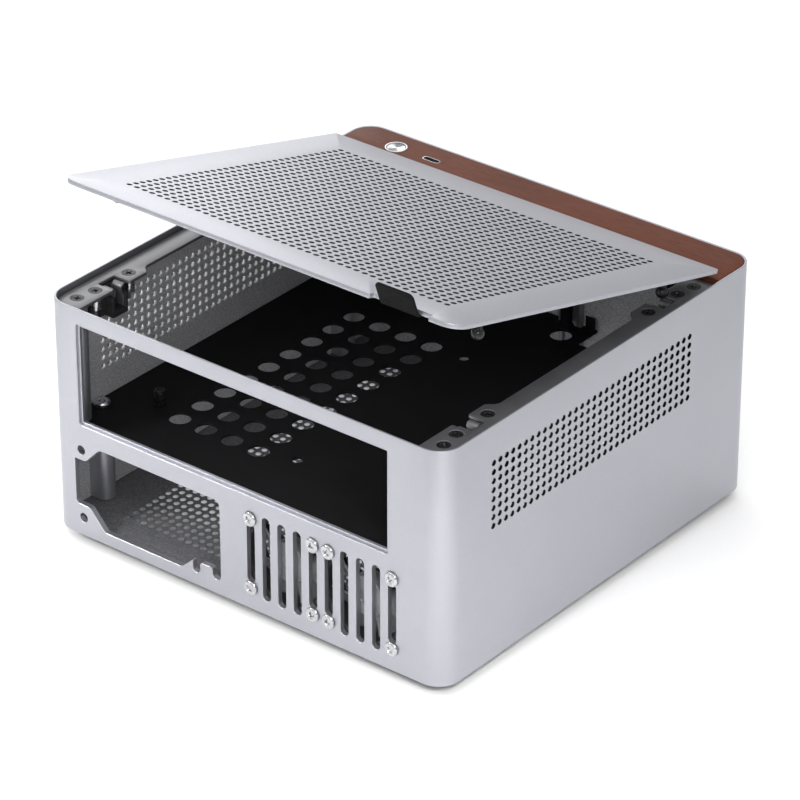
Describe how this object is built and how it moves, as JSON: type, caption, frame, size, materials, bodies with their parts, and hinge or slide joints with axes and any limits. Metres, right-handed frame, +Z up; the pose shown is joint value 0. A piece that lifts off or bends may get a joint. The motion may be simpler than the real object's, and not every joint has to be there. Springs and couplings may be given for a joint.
{
  "type": "desktop computer case",
  "caption": "Compact flat desktop computer case: seamless aluminium ring, perforated lid on ball catches, wood front strip with button and socket, board tray and rear fans.",
  "frame": {"origin": "centre of the footprint, on the surface under the feet", "axes": "+Z up, -Y the front with the wood strip, +Y the rear with the socket window, +X the power supply's side"},
  "size_m": [0.205, 0.208, 0.1698],
  "materials": {
    "anodised_silver": "satin, fine bead-blasted and anodised",
    "black_steel": "matte fine-textured powder coat",
    "graphite_steel": "satin grey",
    "black_plastic": "satin moulded",
    "bright_steel": "bright plated",
    "foot_rubber": "matte",
    "walnut": "oiled, open grain along X",
    "black_leather": "fine-grained",
    "circuit_board": "solder mask"
  },
  "bodies": {
    "case": {"ball_catch_front_left": "black_plastic", "ball_catch_front_right": "black_plastic", "ball_catch_rear_left": "black_plastic", "ball_catch_rear_right": "black_plastic", "base_plate": "black_steel", "button_bezel": "bright_steel", "button_spring": "bright_steel", "button_switch": "black_plastic", "fan_frame_a": "black_plastic", "fan_frame_b": "black_plastic", "fan_screw_1": "bright_steel", "fan_screw_2": "bright_steel", "fan_screw_3": "bright_steel", "fan_screw_4": "bright_steel", "fan_screw_5": "bright_steel", "fan_screw_6": "bright_steel", "fan_screw_7": "bright_steel", "fan_screw_8": "bright_steel", "foot_front_left": "foot_rubber", "foot_front_right": "foot_rubber", "foot_rear_left": "foot_rubber", "foot_rear_right": "foot_rubber", "front_bracket": "black_steel", "front_io_board": "circuit_board", "motherboard_tray": "black_steel", "rail_left": "graphite_steel", "rail_right": "graphite_steel", "rail_screw_left_1": "black_steel", "rail_screw_left_2": "black_steel", "rail_screw_left_3": "black_steel", "rail_screw_left_4": "black_steel", "rail_screw_left_5": "black_steel", "rail_screw_left_6": "black_steel", "rail_screw_right_1": "black_steel", "rail_screw_right_2": "black_steel", "rail_screw_right_3": "black_steel", "rail_screw_right_4": "black_steel", "rail_screw_right_5": "black_steel", "rail_screw_right_6": "black_steel", "shell": "anodised_silver", "standoff_1": "black_steel", "standoff_2": "black_steel", "standoff_3": "black_steel", "standoff_4": "black_steel", "tray_screw_front_left": "bright_steel", "tray_screw_front_right": "bright_steel", "tray_screw_rear_left": "bright_steel", "tray_screw_rear_right": "bright_steel", "usb_c_shell": "bright_steel", "usb_c_tongue": "black_plastic", "wood_trim": "walnut"},
    "lid": {"ball_stud_front_left": "black_plastic", "ball_stud_front_right": "black_plastic", "ball_stud_rear_left": "black_plastic", "ball_stud_rear_right": "black_plastic", "lid_panel": "anodised_silver", "pull_tab": "black_leather"},
    "power_button": {"button_cap": "anodised_silver"},
    "fan_a": {"fan_rotor_a": "black_plastic"},
    "fan_b": {"fan_rotor_b": "black_plastic"}
  },
  "joints": [
    {"name": "lid_tilt", "type": "hinge", "parent": "case", "child": "lid", "pos_m": [0, -0.09407, 0.10597], "axis": [1, 0, 0], "range_deg": [-15.15, 44.85]},
    {"name": "power_button_press", "type": "slide", "parent": "case", "child": "power_button", "axis": [0, 0, -1], "range_m": [0, 0.001], "stiffness_N_per_m": 500, "springref_m": -0.001, "deforming": ["button_spring"]},
    {"name": "fan_a_spin", "type": "hinge", "parent": "case", "child": "fan_a", "pos_m": [-0.021, 0.095, 0.0312], "axis": [0, 1, 0], "continuous": true},
    {"name": "fan_b_spin", "type": "hinge", "parent": "case", "child": "fan_b", "pos_m": [-0.061, 0.095, 0.0312], "axis": [0, 1, 0], "continuous": true}
  ]
}
